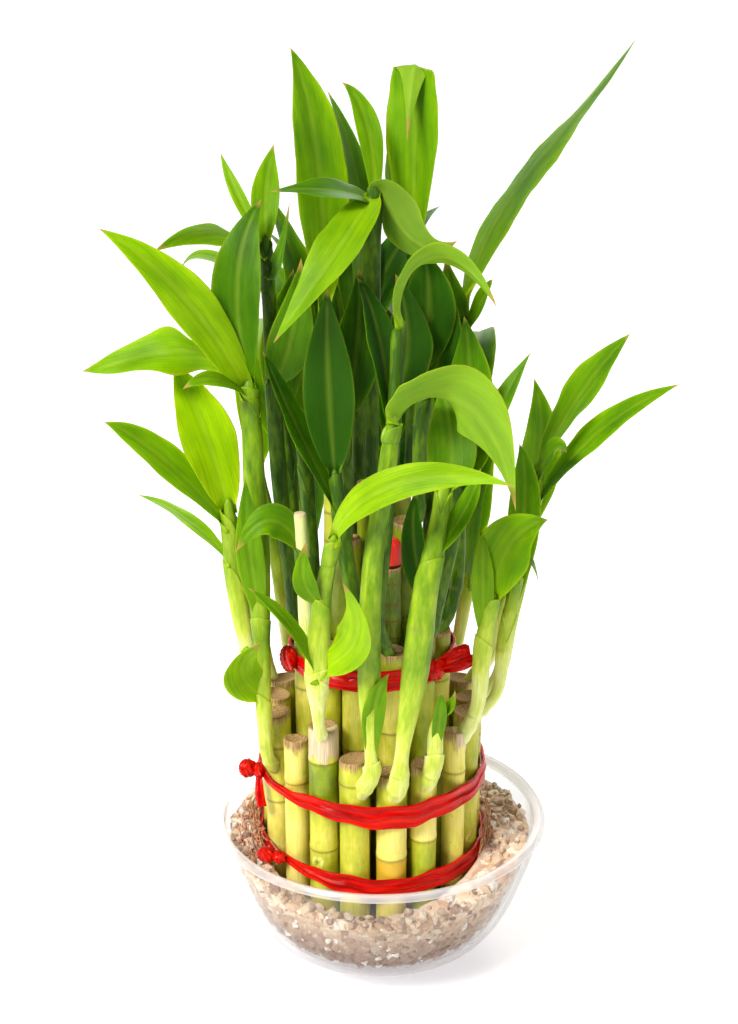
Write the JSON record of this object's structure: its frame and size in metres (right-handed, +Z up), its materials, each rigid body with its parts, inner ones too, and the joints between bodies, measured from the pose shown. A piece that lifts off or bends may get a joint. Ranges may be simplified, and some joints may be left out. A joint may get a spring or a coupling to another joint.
{
  "type": "potted lucky bamboo",
  "caption": "Tiered bundle of lucky bamboo canes with leafy shoots, tied with red ribbon and standing in gravel in a clear bowl.",
  "frame": {"origin": "middle of the bowl's flat underside, on the surface that it stands on", "axes": "+Z up along the canes; -Y towards the front, the side with the ribbon knot at its left; +X to the right seen from the front"},
  "size_m": [0.212, 0.1966, 0.339],
  "materials": {
    "clear_bowl": "clear, smooth and shiny",
    "stone_chips": "rough broken quartz chips, white to pinkish brown",
    "leafy_cane": "living cane and leaves, satin",
    "red_foil": "shiny creased foil ribbon",
    "red_wax": "smooth dipped wax"
  },
  "bodies": {
    "root": {"bowl": "clear_bowl", "gravel": "stone_chips", "cane_outer_01": "leafy_cane", "cane_outer_02": "leafy_cane", "cane_outer_03": "leafy_cane", "cane_outer_04": "leafy_cane", "cane_outer_05": "leafy_cane", "cane_outer_06": "leafy_cane", "cane_outer_07": "leafy_cane", "cane_outer_08": "leafy_cane", "cane_outer_09": "leafy_cane", "cane_outer_10": "leafy_cane", "cane_outer_11": "leafy_cane", "cane_outer_12": "leafy_cane", "cane_outer_13": "leafy_cane", "cane_outer_14": "leafy_cane", "cane_outer_15": "leafy_cane", "cane_outer_16": "leafy_cane", "cane_outer_17": "leafy_cane", "cane_outer_18": "leafy_cane", "cane_middle_01": "leafy_cane", "cane_middle_02": "leafy_cane", "cane_middle_03": "leafy_cane", "cane_middle_04": "leafy_cane", "cane_middle_05": "leafy_cane", "cane_middle_06": "leafy_cane", "cane_middle_07": "leafy_cane", "cane_middle_08": "leafy_cane", "cane_middle_09": "leafy_cane", "cane_middle_10": "leafy_cane", "cane_middle_11": "leafy_cane", "cane_middle_12": "leafy_cane", "cane_inner_01": "leafy_cane", "cane_inner_02": "leafy_cane", "cane_inner_03": "leafy_cane", "cane_inner_04": "leafy_cane", "cane_inner_05": "leafy_cane", "cane_inner_06": "leafy_cane", "cane_inner_07": "leafy_cane", "ribbon_foot": "red_foil", "ribbon_lower": "red_foil", "ribbon_upper": "red_foil", "wax_cap": "red_wax"}
  },
  "joints": []
}
